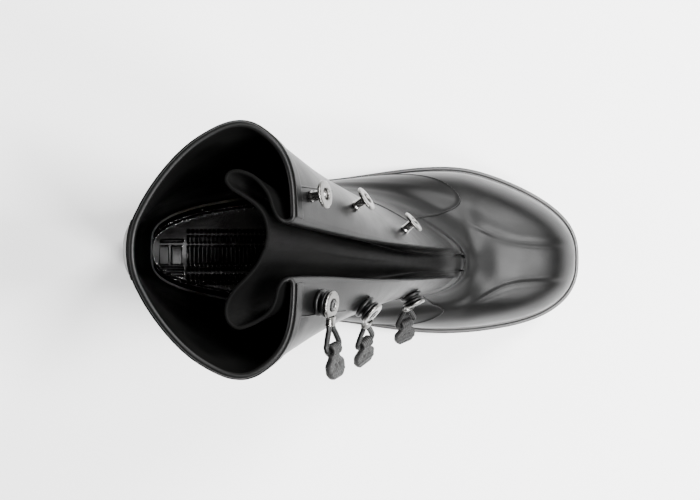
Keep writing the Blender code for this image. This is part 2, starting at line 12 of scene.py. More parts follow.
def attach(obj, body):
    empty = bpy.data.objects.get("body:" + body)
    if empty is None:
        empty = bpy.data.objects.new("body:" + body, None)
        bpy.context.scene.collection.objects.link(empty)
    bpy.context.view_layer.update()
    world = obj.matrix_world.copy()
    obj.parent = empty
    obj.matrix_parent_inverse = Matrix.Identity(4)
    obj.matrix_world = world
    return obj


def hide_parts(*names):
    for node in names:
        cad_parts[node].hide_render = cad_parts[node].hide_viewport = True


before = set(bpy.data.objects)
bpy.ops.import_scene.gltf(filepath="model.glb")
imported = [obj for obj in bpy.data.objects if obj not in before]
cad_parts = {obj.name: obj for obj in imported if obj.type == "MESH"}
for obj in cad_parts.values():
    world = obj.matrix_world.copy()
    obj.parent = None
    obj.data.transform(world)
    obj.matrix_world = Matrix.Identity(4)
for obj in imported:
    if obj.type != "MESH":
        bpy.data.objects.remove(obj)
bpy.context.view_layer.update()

# ---- driving dimensions, as in the model ------------------------------------------------------------
WALL, GUSSET_WALL = 0.0026, 0.0018
SOLE_EDGE, OUTSOLE_TOP, CLEAT, ARCH_HEIGHT, RAND_TOP = 0.0040, 0.0140, 0.0035, 0.0070, 0.0210
THROAT, MOUTH = 6, 11
GAP = 0.0003

# Rings of the upper, bottom to top: rear x, rear z, front x, front z, half widths at heel, waist and
# ball, rear and front roundness powers, sideways shift of the front
RINGS = (
    (-0.0280, 0.0146, 0.2597, 0.0146, 0.0420, 0.0436, 0.0570, 0.60, 0.76, -0.0061),
    (-0.0310, 0.0300, 0.2577, 0.0320, 0.0425, 0.0441, 0.0566, 0.60, 0.77, -0.0061),
    (-0.0325, 0.0430, 0.2513, 0.0480, 0.0420, 0.0438, 0.0549, 0.62, 0.80, -0.0061),
    (-0.0335, 0.0560, 0.2385, 0.0605, 0.0410, 0.0428, 0.0508, 0.64, 0.86, -0.0063),
    (-0.0335, 0.0680, 0.2160, 0.0675, 0.0395, 0.0410, 0.0445, 0.66, 0.92, -0.0070),
    (-0.0325, 0.0800, 0.1930, 0.0715, 0.0380, 0.0390, 0.0380, 0.68, 0.94, -0.0080),
    (-0.0310, 0.0940, 0.1725, 0.0860, 0.0375, 0.0385, 0.0335, 0.70, 1.00, -0.0080),
    (-0.0275, 0.1250, 0.1510, 0.1260, 0.0370, 0.0400, 0.0335, 0.75, 1.00, -0.0075),
    (-0.0210, 0.1700, 0.1300, 0.1700, 0.0370, 0.0430, 0.0370, 0.85, 0.98, -0.0065),
    (-0.0150, 0.2150, 0.1030, 0.2150, 0.0370, 0.0465, 0.0445, 0.95, 0.88, -0.0045),
    (-0.0098, 0.2500, 0.0788, 0.2500, 0.0350, 0.0476, 0.0532, 1.00, 0.62, -0.0015),
    (-0.0064, 0.2730, 0.0641, 0.2730, 0.0340, 0.0484, 0.0584, 0.94, 0.46, 0.0000),
)
HEEL_AT, WAIST_AT, BALL_AT, SHIFT_FROM = 0.06, 0.42, 0.78, 0.70
GUSSET_HALF_THROAT, GUSSET_HALF_MOUTH = 0.0090, 0.0140
# the gusset's folds at the mouth, from its lateral to its medial edge: depth and sideways position
PLEATS = (
    (0.0000, 0.0140), (0.0016, 0.0119), (0.0050, 0.0113), (0.0082, 0.0134), (0.0103, 0.0174),
    (0.0126, 0.0238), (0.0174, 0.0296), (0.0228, 0.0324), (0.0272, 0.0326), (0.0289, 0.0302),
    (0.0268, 0.0272), (0.0218, 0.0240), (0.0166, 0.0202), (0.0132, 0.0158), (0.0114, 0.0105),
    (0.0112, 0.0050), (0.0126, -0.0005), (0.0158, -0.0070), (0.0206, -0.0128), (0.0254, -0.0178),
    (0.0286, -0.0235), (0.0284, -0.0292), (0.0250, -0.0322), (0.0205, -0.0312), (0.0160, -0.0290),
    (0.0115, -0.0254), (0.0092, -0.0206), (0.0080, -0.0158), (0.0054, -0.0122), (0.0020, -0.0116),
    (0.0000, -0.0140),
)
TONGUE_DEPTH, TONGUE_POWER, POCKET_POWER, SPREAD_POWER, SPREAD = 0.0112, 9.0, 1.3, 2.2, 0.8
STUDS = ((10.40, 2.925), (9.08, 2.630), (7.92, 2.690))
LOOPS = ((10.14, 2.915), (8.84, 2.620), (7.24, 2.560))
HANG_TURN = (math.radians(-3), math.radians(-22), math.radians(-22))
HANG_BEND = (math.radians(10), math.radians(22), math.radians(42))
SEAT, HEAD_LOW, HEAD_HIGH, PLATE_MID = 0.0008, 0.0066, 0.0084, 0.0062
FERRULE_END, BAR_AT, TAB_END, STRAND, BARREL = 0.0095, 0.0205, 0.0340, 0.0013, 0.0029
PANEL_FRONT = {
    "lateral": ((1.15,), (1.30,), (1.52,), (1.93,), (2.29,), (2.38,), (2.38,), (2.50,), (2.66,)),
    "medial": ((0.95,), (1.10,), (1.35,), (1.85,), (2.18,), (2.29,), (2.40,), (2.50,), (2.62,)),
}


# ---- the upper's surface ----------------------------------------------------------------------------
def hermite(low, high, slope_low, slope_high, share):
    """A smooth value between low and high, with the slopes it has at both."""
    rise = high - low
    bend = 3 * rise - 2 * slope_low - slope_high
    return low + share * (slope_low + share * (bend + share * (slope_low + slope_high - 2 * rise)))


def along_table(table, position):
    """Every column of the table at a fractional row, on a smooth curve through the rows."""
    last = len(table) - 1
    position = min(max(position, 0.0), float(last))
    row = min(int(position), last - 1)
    rows = [table[min(max(row + step, 0), last)] for step in (-1, 0, 1, 2)]
    return [hermite(low, high, (high - before) / 2, (after - low) / 2, position - row)
            for before, low, high, after in zip(*rows)]


def smooth(low, high, value):
    share = min(max((value - low) / (high - low), 0.0), 1.0)
    return share * share * (3 - 2 * share)


def bump(value, width):
    return math.exp(-(value / width) ** 2)


def half_width(along, heel, waist, ball):
    """Half width of a ring, level beyond the heel and the ball and on one smooth curve between."""
    along = min(max(along, HEEL_AT), BALL_AT)
    middle_slope = (ball - heel) / (BALL_AT - HEEL_AT)
    if along < WAIST_AT:
        span = WAIST_AT - HEEL_AT
        return hermite(heel, waist, waist - heel, middle_slope * span, (along - HEEL_AT) / span)
    span = BALL_AT - WAIST_AT
    return hermite(waist, ball, middle_slope * span, 0.0, (along - WAIST_AT) / span)


def upper_point(angle, level):
    """A point of the outer surface: angle 0 is the rear, pi the front, the lateral side positive."""
    (rear_x, rear_z, front_x, front_z, heel, waist, ball, rear_power, front_power,
     shift) = along_table(RINGS, level)
    along = (1 - math.cos(angle)) / 2
    side = math.sin(angle)
    power = rear_power + (front_power - rear_power) * along
    width = half_width(along, heel, waist, ball) * abs(side) ** power
    return Vector((rear_x + (front_x - rear_x) * along,
                   shift * smooth(SHIFT_FROM, 1.0, along) + math.copysign(width, side),
                   rear_z + (front_z - rear_z) * along))


def normal_at(angle, level, step=0.01):
    ahead = upper_point(angle + step, level) - upper_point(angle - step, level)
    up = upper_point(angle, level + step) - upper_point(angle, level - step)
    return up.cross(ahead).normalized()


def opening_angle(level, margin=0.0):
    """Angle between the front and the edge of the gusset's opening."""
    level = max(level, THROAT)
    share = (level - THROAT) / (MOUTH - THROAT)
    half = GUSSET_HALF_THROAT + (GUSSET_HALF_MOUTH - GUSSET_HALF_THROAT) * share ** 2 + margin
    ring = along_table(RINGS, level)
    return math.asin(min((half / ring[6]) ** (1 / ring[8]), 1.0))


def fold_table():
    """PLEATS as share of the sheet's width, depth, and sideways distance from the unfolded sheet."""
    lengths = [0.0]
    for (depth, side), (next_depth, next_side) in zip(PLEATS, PLEATS[1:]):
        lengths.append(lengths[-1] + math.hypot(next_depth - depth, next_side - side))
    edge = opening_angle(MOUTH)
    table = []
    for length, (depth, side) in zip(lengths, PLEATS):
        share = length / lengths[-1]
        table.append((share, depth, side - upper_point(math.pi - edge + 2 * edge * share, MOUTH).y))
    return table


FOLDS = fold_table()


def gusset_point(fold, level):
    """A point of the pleated gusset above the throat, and of the plain upper below it."""
    share, depth, offset = along_table(FOLDS, fold)
    low, high = RINGS[THROAT][3], RINGS[MOUTH][3]
    ring = along_table(RINGS, level)
    rise = max((ring[3] - low) / (high - low), 0.0) if level > THROAT else 0.0
    tongue = min(depth, TONGUE_DEPTH)
    depth = tongue * (1 - (1 - rise) ** TONGUE_POWER) + (depth - tongue) * rise ** POCKET_POWER
    share += SPREAD * (1 - rise) * math.sin(4 * math.pi * share) / (4 * math.pi)
    edge = opening_angle(level)
    base = upper_point(math.pi - edge + 2 * edge * share, level)
    inward = Vector((ring[0] - ring[2], 0, ring[1] - ring[3])).normalized()
    return base + inward * depth + Vector((0, offset * rise ** SPREAD_POWER, 0))


def closure_frame(angle, level, turn=0.0):
    """Origin on the wall, Z out of it, X along the wall: downward and across the boot, then turned."""
    origin, out = upper_point(angle, level), normal_at(angle, level)
    hang = Vector((1, 0, 0)).cross(out).normalized()
    if hang.z > 0:
        hang.negate()
    upright = Matrix((hang, out.cross(hang), out)).transposed().to_4x4()
    return Matrix.Translation(origin) @ upright @ Matrix.Rotation(turn, 4, "Z")


# ---- materials --------------------------------------------------------------------------------------
class Graph:
    """A material's nodes, in the object's own coordinates."""

    def __init__(self, name, colour, roughness, metallic=0.0, specular=0.5):
        self.material = bpy.data.materials.new(name)
        self.material.use_nodes = True
        self.tree = self.material.node_tree
        self.shader = self.tree.nodes["Principled BSDF"]
        self.set("Base Color", (*colour, 1.0))
        self.set("Roughness", roughness)
        self.set("Metallic", metallic)
        self.set("Specular IOR Level", specular)
        self.place = self.node("ShaderNodeTexCoord").outputs["Object"]

    def node(self, kind, **inputs):
        made = self.tree.nodes.new(kind)
        for key, value in inputs.items():
            made.inputs[key].default_value = value
        return made

    def link(self, out, into):
        self.tree.links.new(out, into)

    def set(self, socket, value):
        self.shader.inputs[socket].default_value = value

    def noise(self, scale, detail=3.0, stretch=(1, 1, 1)):
        mapping = self.node("ShaderNodeMapping", Scale=stretch)
        self.link(self.place, mapping.inputs["Vector"])
        made = self.node("ShaderNodeTexNoise", Scale=scale, Detail=detail)
        self.link(mapping.outputs["Vector"], made.inputs["Vector"])
        return made.outputs["Fac"]

    def cells(self, scale):
        made = self.node("ShaderNodeTexVoronoi", Scale=scale)
        made.feature = "SMOOTH_F1"
        self.link(self.place, made.inputs["Vector"])
        return made.outputs["Distance"]

    def span(self, value, low, high, start=0.35, end=0.65):
        made = self.node("ShaderNodeMapRange")
        for key, number in zip(("From Min", "From Max", "To Min", "To Max"), (start, end, low, high)):
            made.inputs[key].default_value = number
        self.link(value, made.inputs["Value"])
        return made.outputs["Result"]

    def painted(self, name, low, high):
        """A value that follows a mesh attribute from low to high."""
        made = self.node("ShaderNodeAttribute")
        made.attribute_name = name
        return self.span(made.outputs["Fac"], low, high, 0.0, 1.0)

    def add(self, first, second):
        made = self.node("ShaderNodeMath")
        made.operation = "ADD"
        self.link(first, made.inputs[0])
        self.link(second, made.inputs[1])
        return made.outputs[0]

    def blend(self, factor, dark, light):
        made = self.node("ShaderNodeValToRGB")
        made.color_ramp.elements[0].position = 0.35
        made.color_ramp.elements[0].color = (*dark, 1.0)
        made.color_ramp.elements[1].position = 0.68
        made.color_ramp.elements[1].color = (*light, 1.0)
        self.link(factor, made.inputs["Fac"])
        self.link(made.outputs["Color"], self.shader.inputs["Base Color"])

    def rough(self, value):
        self.link(value, self.shader.inputs["Roughness"])

    def grain(self, height, depth, strength=1.0):
        made = self.node("ShaderNodeBump", Strength=strength, Distance=depth)
        self.link(height, made.inputs["Height"])
        self.link(made.outputs["Normal"], self.shader.inputs["Normal"])


def moulded_rubber(name, dark, light, rough_low, rough_high, grain_scale, grain_depth, specular=0.5):
    """Black rubber: cloudy bloom, fine mould grain, faint rubbed streaks; rougher in the gusset's folds,
    which also get a painted shade.
    """
    graph = Graph(name, dark, rough_low, specular=specular)
    cloud = graph.noise(28, 4.0)
    graph.blend(cloud, dark, light)
    streaks = graph.noise(120, 5.0, (0.25, 1.0, 1.4))
    bloom = graph.add(graph.span(cloud, rough_low, rough_high), graph.span(streaks, -0.02, 0.03))
    graph.rough(graph.add(bloom, graph.painted("gusset_shade", 0.0, 0.16)))
    # painted shade: the specular drops to 15 % in the gusset's folds, so the valley reads dark as if shaded
    shade_specular = graph.painted("gusset_shade", specular, specular * 0.15)
    graph.link(shade_specular, graph.shader.inputs["Specular IOR Level"])
    graph.grain(graph.add(graph.noise(grain_scale, 4.0), graph.span(streaks, 0.0, 0.25)), grain_depth)
    return graph.material


def pebbled_rubber(name):
    graph = Graph(name, (0.01, 0.01, 0.01), 0.6, specular=0.3)
    pebbles = graph.cells(900)
    graph.blend(graph.noise(160, 4.0), (0.0022, 0.0022, 0.0022), (0.006, 0.0058, 0.0056))
    graph.rough(graph.span(pebbles, 0.45, 0.72, 0.1, 0.7))
    graph.grain(graph.add(pebbles, graph.noise(2500, 2.0)), 0.00022)
    return graph.material


def plated_metal(name, colour, roughness, specular=0.5):
    """Satin plated metal: fine lapping scratches and tarnish in cloudy patches."""
    graph = Graph(name, colour, roughness, 1.0, specular)
    tarnish = graph.noise(220, 5.0)
    graph.blend(tarnish, tuple(channel * 0.72 for channel in colour), colour)
    scratches = graph.noise(1800, 2.0, (0.12, 1.0, 1.0))
    dull = graph.span(tarnish, roughness + 0.10, roughness)
    graph.rough(graph.add(dull, graph.span(scratches, -0.05, 0.08)))
    graph.grain(scratches, 0.00003)
    return graph.material


def fibre_board(name):
    graph = Graph(name, (0.3, 0.24, 0.17), 0.9)
    graph.blend(graph.noise(420, 6.0, (1, 0.3, 1)), (0.20, 0.15, 0.10), (0.34, 0.27, 0.19))
    graph.grain(graph.noise(1500, 4.0), 0.0001)
    return graph.material


def floor_paper(name):
    graph = Graph(name, (0.95, 0.95, 0.95), 0.85, specular=0.2)
    graph.blend(graph.noise(3.0, 3.0), (0.94, 0.94, 0.94), (0.96, 0.96, 0.96))
    graph.grain(graph.noise(700, 3.0), 0.0001)
    return graph.material


RUBBER = moulded_rubber("boot_rubber", (0.0014, 0.0014, 0.0014), (0.0026, 0.0026, 0.0025), 0.36, 0.43, 1700,
                        0.00004, specular=0.13)
# the sole's black rubber, partly its own tone and partly a painted highlight: lighter and more reflective
# than the upper, so the rand's ledge reads as a light line
SOLE_RUBBER = moulded_rubber("sole_rubber_and_highlight", (0.020, 0.020, 0.020), (0.034, 0.033, 0.032), 0.38, 0.50,
                             1400, 0.00006, specular=0.45)
FOOTBED_RUBBER = moulded_rubber("glossy_inner_rubber", (0.001, 0.001, 0.001), (0.002, 0.002, 0.002), 0.08,
                                0.13, 900, 0.00002, specular=0.6)
FITTING_RUBBER = moulded_rubber("fitting_rubber", (0.0010, 0.0010, 0.0010), (0.0020, 0.0020, 0.0019), 0.36,
                                0.48, 2200, 0.00004, specular=0.16)
TAB_RUBBER = pebbled_rubber("tab_pebble_rubber")
NICKEL = plated_metal("satin_nickel", (0.13, 0.127, 0.122), 0.24)
BRIGHT = plated_metal("bright_post_nickel", (0.22, 0.217, 0.212), 0.14)
STEEL = plated_metal("shank_steel_look", (0.30, 0.30, 0.31), 0.38)
# painted shade: the rivet in the plate's hole is near-black metal, so the hole reads as a shaded recess
RIVET_SHADE_LOOK = plated_metal("rivet_in_painted_shade", (0.012, 0.012, 0.012), 0.30)
BOARD = fibre_board("leatherboard")
MATERIALS = {"rubber": RUBBER, "sole_rubber": SOLE_RUBBER, "footbed_rubber": FOOTBED_RUBBER,
             "fitting_rubber": FITTING_RUBBER, "tab_rubber": TAB_RUBBER, "nickel": NICKEL,
             "shank_steel": STEEL, "insole_board": BOARD}


# ---- makers -----------------------------------------------------------------------------------------
def add_piece(name, mesh, slot, body, replaced=(), look=None, sharp=0.7):
    """A finished piece of the boot from a bmesh, riding on a body."""
    bmesh.ops.remove_doubles(mesh, verts=mesh.verts, dist=0.000002)
    bmesh.ops.recalc_face_normals(mesh, faces=mesh.faces)
    data = bpy.data.meshes.new(name)
    mesh.to_mesh(data)
    mesh.free()
    data.materials.append(look or MATERIALS[slot])
    data.shade_smooth()
    data.set_sharp_from_angle(angle=sharp)
    piece = bpy.data.objects.new(name, data)
    bpy.context.scene.collection.objects.link(piece)
    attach(piece, body)
    if replaced:
        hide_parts(*replaced)
    return piece


def skin(mesh, grid, wrap_columns=False, wrap_rows=False, cap=False):
    """Quads between the rows of a grid of points."""
    rows = [[mesh.verts.new(point) for point in row] for row in grid]
    height, width = len(rows), len(rows[0])
    for row in range(height if wrap_rows else height - 1):
        above = (row + 1) % height
        for column in range(width if wrap_columns else width - 1):
            beside = (column + 1) % width
            mesh.faces.new((rows[row][column], rows[row][beside], rows[above][beside],
                            rows[above][column]))
    if cap:
        mesh.faces.new(rows[0][::-1])
        mesh.faces.new(rows[-1])
    return rows


def rounded(profile, radius=0.0003, closed=True, steps=3):
    """A profile with its corners turned into short curves."""
    points = [Vector(point) for point in profile]
    made = []
    count = len(points)
    for index, corner in enumerate(points):
        if not closed and index in (0, count - 1):
            made.append(corner)
            continue
        before, after = points[index - 1], points[(index + 1) % count]
        reach = min(radius, (corner - before).length * 0.45, (corner - after).length * 0.45)
        start = corner + (before - corner).normalized() * reach
        end = corner + (after - corner).normalized() * reach
        for step in range(steps + 1):
            share = step / steps
            made.append(start * (1 - share) ** 2 + corner * 2 * share * (1 - share) + end * share ** 2)
    return made


def turn(mesh, profile, place, closed=True, steps=48):
    """A turned shape about the place's Z axis: a closed ring, or a solid whose profile ends on it."""
    grid = []
    for step in range(steps):
        angle = 2 * math.pi * step / steps
        cosine, sine = math.cos(angle), math.sin(angle)
        grid.append([place @ Vector((max(radius, 0) * cosine, max(radius, 0) * sine, height))
                     for radius, height in profile])
    skin(mesh, grid, wrap_columns=closed, wrap_rows=True)


def turned_piece(name, profile, place, slot, body, replaced, closed=True, look=None, radius=0.0003):
    mesh = bmesh.new()
    turn(mesh, rounded(profile, radius, closed), place, closed)
    return add_piece(name, mesh, slot, body, replaced, look, 1.2)


def sweep(mesh, path, section, flat_normal=None, wrap=False):
    """A section of 2D points carried along a path of points."""
    grid = []
    for index, point in enumerate(path):
        ahead = path[(index + 1) % len(path)] if wrap or index + 1 < len(path) else point
        behind = path[index - 1] if wrap or index > 0 else point
        direction = (ahead - behind).normalized()
        normal = flat_normal(index) if callable(flat_normal) else flat_normal
        side = direction.cross(normal).normalized()
        normal = side.cross(direction)
        grid.append([point + side * x + normal * y for x, y in section])
    skin(mesh, grid, wrap_columns=True, wrap_rows=wrap, cap=not wrap)


def circle(radius, count=10):
    return [(radius * math.cos(2 * math.pi * i / count), radius * math.sin(2 * math.pi * i / count))
            for i in range(count)]


# ---- camera, light and floor ------------------------------------------------------------------------
def make_camera():
    data = bpy.data.cameras.new("camera")
    data.lens, data.sensor_width = 54, 36
    camera = bpy.data.objects.new("camera", data)
    camera.location = (0.052, 0, 0.722)
    camera.rotation_euler = (0, -math.radians(4.5), 0)
    bpy.context.scene.collection.objects.link(camera)
    bpy.context.scene.camera = camera


def softbox(name, location, size, power, aim=(0.09, 0.0, 0.10)):
    data = bpy.data.lights.new(name, "AREA")
    data.shape = "RECTANGLE"
    data.size, data.size_y = size
    data.energy = power
    light = bpy.data.objects.new(name, data)
    light.location = location
    light.rotation_euler = (Vector(aim) - Vector(location)).to_track_quat("-Z", "Y").to_euler()
    bpy.context.scene.collection.objects.link(light)


def make_studio():
    softbox("toe_key", (1.08, 0.0, 1.70), (0.5, 0.8), 118, (0.16, 0.0, 0.10))
    softbox("outer_wing", (1.20, 1.15, 1.40), (0.6, 0.6), 78, (0.16, 0.0, 0.10))
    softbox("inner_wing", (1.25, -0.95, 1.40), (0.5, 0.5), 62, (0.16, 0.0, 0.10))
    softbox("outer_side", (0.10, 2.1, 0.50), (1.4, 0.4), 9)
    softbox("inner_side", (0.10, -2.1, 0.50), (1.4, 0.4), 9)
    softbox("heel_side", (-1.8, 0.0, 0.8), (0.8, 0.5), 22)
    softbox("footbed_lamp", (0.33, 0.03, 2.1), (0.16, 0.16), 13, (0.02, 0.0, 0.03))
    world = bpy.data.worlds.new("studio")
    world.use_nodes = True
    background = world.node_tree.nodes["Background"]
    background.inputs["Color"].default_value = (1.0, 0.98, 0.95, 1.0)
    background.inputs["Strength"].default_value = 0.11
    bpy.context.scene.world = world
    mesh = bmesh.new()
    bmesh.ops.create_grid(mesh, x_segments=2, y_segments=2, size=4.0)
    data = bpy.data.meshes.new("floor")
    mesh.to_mesh(data)
    mesh.free()
    data.materials.append(floor_paper("floor_paper"))
    floor = bpy.data.objects.new("floor", data)
    bpy.context.scene.collection.objects.link(floor)


# ---- upper ------------------------------------------------------------------------------------------
WALL_COLUMNS, FOLD_STEPS, LEVEL_STEP = 300, 4, 0.05
SAMPLE = (100, WALL_COLUMNS // 4)       # row and column of a point on the lateral wall
# the toe's raised band lies between two soft creases: (x, y of the lateral one, y of the medial one)
TOE_BAND = ((0.160, 0.0290, -0.0480), (0.170, 0.0235, -0.0420), (0.180, 0.0170, -0.0350),
            (0.190, 0.0118, -0.0290), (0.200, 0.0080, -0.0240), (0.210, 0.0058, -0.0216),
            (0.220, 0.0048, -0.0208), (0.230, 0.0044, -0.0208), (0.240, 0.0042, -0.0210),
            (0.250, 0.0042, -0.0212))


def toe_relief(point, level):
    """Outward relief of the toe box and of the creases that cross the throat."""
    x, y = point.x, point.y
    relief = 0.0
    if x > 0.165 and 0.9 < level < 5.8:
        _, lateral, medial = along_table(TOE_BAND, (x - TOE_BAND[0][0]) / 0.010)
        fade = smooth(0.172, 0.192, x) * (1 - smooth(0.232, 0.250, x)) * smooth(0.9, 1.8, level)
        inside = smooth(-0.004, 0.004, lateral - y) * smooth(-0.004, 0.004, y - medial)
        creases = bump(y - lateral, 0.0024) + bump(y - medial, 0.0024)
        relief += fade * (0.0006 * inside - 0.0008 * creases)
        relief -= 0.0004 * bump(math.hypot(x - 0.2139, y + 0.0077), 0.009)
    if 5.2 < level < 6.6 and x > 0.14:
        lip = 0.0013 * bump(level - 6.05, 0.08) - 0.0012 * bump(level - 5.80, 0.12)
        relief += bump(y + 0.008, 0.018) * lip
    if level < 6:
        relief -= 0.0011 * bump(x - 0.1785, 0.0060) * bump(y + 0.006, 0.042) * smooth(2.6, 3.6, level)
    return relief


def upper_grid():
    """Outer surface: rows of levels, columns once round the boot, lateral wall, gusset, medial wall."""
    levels = [index * LEVEL_STEP for index in range(int(MOUTH / LEVEL_STEP) + 1)]
    last = len(FOLDS) - 1
    folds = [index / FOLD_STEPS for index in range(1, last * FOLD_STEPS)]
    grid = []
    for level in levels:
        edge = math.pi - opening_angle(level)
        half = WALL_COLUMNS // 2
        lateral = [edge * index / half for index in range(half + 1)]
        row = [upper_point(angle, level) for angle in lateral]
        row += [gusset_point(fold, level) for fold in folds]
        row += [upper_point(-angle, level) for angle in lateral[:0:-1]]
        grid.append(row)
    return levels, grid


def relax(grid, rounds=6):
    """Evens the surface along the levels, so that its reflections run without a break."""
    for _ in range(rounds):
        grid = [grid[0]] + [[point * 0.5 + (below + above) * 0.25 for below, point, above
                             in zip(grid[index - 1], grid[index], grid[index + 1])]
                            for index in range(1, len(grid) - 1)] + [grid[-1]]
    return grid


def grid_normals(grid):
    """Outward normals of a grid whose columns close round the boot."""
    height, width = len(grid), len(grid[0])
    normals = []
    for row in range(height):
        below, above = grid[max(row - 1, 0)], grid[min(row + 1, height - 1)]
        line = []
        for column in range(width):
            up = above[column] - below[column]
            ahead = grid[row][(column + 1) % width] - grid[row][column - 1]
            line.append(up.cross(ahead).normalized() * -1)
        normals.append(line)
    return normals


def outward_normals(grid, outward):
    """The grid's normals, turned over if the sample one looks inward."""
    normals = grid_normals(grid)
    row, column = SAMPLE
    if normals[row][column].dot(outward) < 0:
        normals = [[-normal for normal in line] for line in normals]
    return normals


def make_upper():
    levels, grid = upper_grid()
    grid = relax(grid, 16)
    row, column = SAMPLE
    outward = grid[row][column] - Vector((0.07, 0, grid[row][column].z))
    normals = outward_normals(grid, outward)
    half = WALL_COLUMNS // 2
    width = len(grid[0])
    fold_columns = range(half + 1, width - half)
    for row, level in enumerate(levels):
        for column in range(width):
            grid[row][column] = grid[row][column] + normals[row][column] * toe_relief(
                grid[row][column], level)
    normals = outward_normals(grid, outward)

    def thickness(column, level):
        into = min(abs(column - half), abs(column - (width - half)))
        thin = smooth(0, 10, into) if column in fold_columns else 0.0
        return WALL - (WALL - GUSSET_WALL) * thin * smooth(5.5, 7.0, level)

    inner = [[point - normal * thickness(column, level)
              for column, (point, normal) in enumerate(zip(line, line_normals))]
             for level, line, line_normals in zip(levels, grid, normals)]
    rim = []
    for step in range(1, 8):
        turned = math.pi * step / 8
        line = []
        for column in range(width):
            middle = (grid[-1][column] + inner[-1][column]) / 2
            half_wall = (grid[-1][column] - inner[-1][column]) / 2
            up = (grid[-1][column] - grid[-2][column]).normalized() * half_wall.length
            line.append(middle + half_wall * math.cos(turned) + up * math.sin(turned) * 0.9)
        rim.append(line)
    mesh = bmesh.new()
    # mask of the gusset's folds above the throat: painted shade and extra roughness in the rubber's shader
    gusset_shade = mesh.verts.layers.float.new("gusset_shade")
    rows = skin(mesh, grid + rim + inner[::-1], wrap_columns=True, wrap_rows=True)
    count = 0
    for line in [levels] + [[MOUTH] * len(rim)] + [levels[::-1]]:
        for level in line:
            for column in range(width):
                into = min(column - half, width - half - column)
                rows[count][column][gusset_shade] = smooth(-1, 14, into) * smooth(6.1, 6.6, level)
            count += 1
    add_piece("upper_moulding", mesh, "rubber", "boot", ("foot_shell", "shaft_shell", "front_gusset"),
              sharp=1.3)


# ---- overlays ---------------------------------------------------------------------------------------
def edged(count, border):
    """Shares from 0 to 1, packed closely at both borders."""
    near = [border * share for share in (0, 0.08, 0.25, 0.5, 0.8, 1.15, 1.6, 2.2)]
    inner = [near[-1] + (1 - 2 * near[-1]) * index / count for index in range(1, count)]
    return near + inner + [1 - share for share in reversed(near)]


def edge_height(distance, edge, height, bead):
    """Height of an overlay at a distance from its border: a quarter round, then a low bead."""
    share = min(distance / edge, 1.0)
    return height * math.sqrt(max(1 - (1 - share) ** 2, 0.0)) + bead * bump(distance - 1.3 * edge, edge)


def make_overlay(name, point_at, normal_of, across, along, height, bead, counts, replaced, edge=0.0008,
                 sunk=0.0005):
    """A sheet laid on the wall, with rounded borders: point_at and normal_of take two shares."""
    firsts, seconds = edged(counts[0], edge / across), edged(counts[1], edge / along)
    outer, inner = [], []
    for second in seconds:
        outer_row, inner_row = [], []
        for first in firsts:
            point, normal = point_at(first, second), normal_of(first, second)
            distance = min(min(first, 1 - first) * across, min(second, 1 - second) * along)
            raised = edge_height(distance, edge, height + sunk, bead) - sunk
            outer_row.append(point + normal * raised)
            inner_row.append(point - normal * (sunk + 0.0002))
        outer.append(outer_row)
        inner.append(inner_row)
    mesh = bmesh.new()
    top, under = skin(mesh, outer), skin(mesh, inner)
    border = ([(0, column) for column in range(len(firsts))]
              + [(row, len(firsts) - 1) for row in range(1, len(seconds))]
              + [(len(seconds) - 1, column) for column in range(len(firsts) - 2, -1, -1)]
              + [(row, 0) for row in range(len(seconds) - 2, 0, -1)])
    for (row, column), (next_row, next_column) in zip(border, border[1:] + border[:1]):
        mesh.faces.new((top[row][column], top[next_row][next_column], under[next_row][next_column],
                        under[row][column]))
    return add_piece(name, mesh, "rubber", "boot", replaced, sharp=1.2)


OVERLAY_TOP, HEM_FROM = MOUTH - 0.02, 10.70
STRIP_FROM, STRIP_HALF_ANGLE = 0.55, 0.36
PANEL_LOW, PANEL_HIGH, PANEL_REAR = 0.75, 6.9, 0.34


def make_overlays():
    def strip(first, second):
        return STRIP_HALF_ANGLE * (2 * first - 1), STRIP_FROM + (OVERLAY_TOP - STRIP_FROM) * second

    make_overlay("heel_strip", lambda a, b: upper_point(*strip(a, b)),
                 lambda a, b: normal_at(*strip(a, b)), 0.022, 0.26, 0.0012, 0.0, (14, 90), ("back_strip",))

    def hem(first, second):
        level = HEM_FROM + (OVERLAY_TOP - HEM_FROM) * second
        edge = math.pi - opening_angle(level)
        return edge * (2 * first - 1), level

    make_overlay("mouth_hem", lambda a, b: upper_point(*hem(a, b)), lambda a, b: normal_at(*hem(a, b)),
                 0.36, 0.0065, 0.0008, 0.0, (240, 6), ("top_binding",), 0.0006)
    for side, word in ((1, "lateral"), (-1, "medial")):
        def panel(first, second, side=side, word=word):
            level = PANEL_LOW + (PANEL_HIGH - PANEL_LOW) * second
            end = along_table(PANEL_FRONT[word], level)[0]
            return side * (PANEL_REAR + (end - PANEL_REAR) * first), level

        make_overlay(f"quarter_{word}", lambda a, b: upper_point(*panel(a, b)),
                     lambda a, b: normal_at(*panel(a, b)), 0.14, 0.12, 0.0005, 0.00035, (70, 70),
                     (f"quarter_panel_{word}",), 0.0006)


# the mould's parting seam shows as a fine ridge down each flap: side, sideways position, levels
SEAMS = ((1, 0.0275, 10.70, 9.55), (-1, 0.0288, 10.70, 9.30))


def angle_at(side, y, level):
    """Ring angle of the front of a flap where it has a sideways position."""
    low, high = 1.6, math.pi
    for _ in range(26):
        middle = (low + high) / 2
        if abs(upper_point(side * middle, level).y) > y:
            low = middle
        else:
            high = middle
    return side * low


def make_seams():
    mesh = bmesh.new()
    for side, y, high, low in SEAMS:
        path, normals = [], []
        for index in range(33):
            level = high + (low - high) * index / 32
            angle = angle_at(side, y, level)
            normals.append(normal_at(angle, level))
            path.append(upper_point(angle, level) + normals[-1] * 0.0001)
        sweep(mesh, path, circle(0.00038, 8), lambda index: normals[index])
    add_piece("mould_seams", mesh, "rubber", "boot", sharp=1.2)


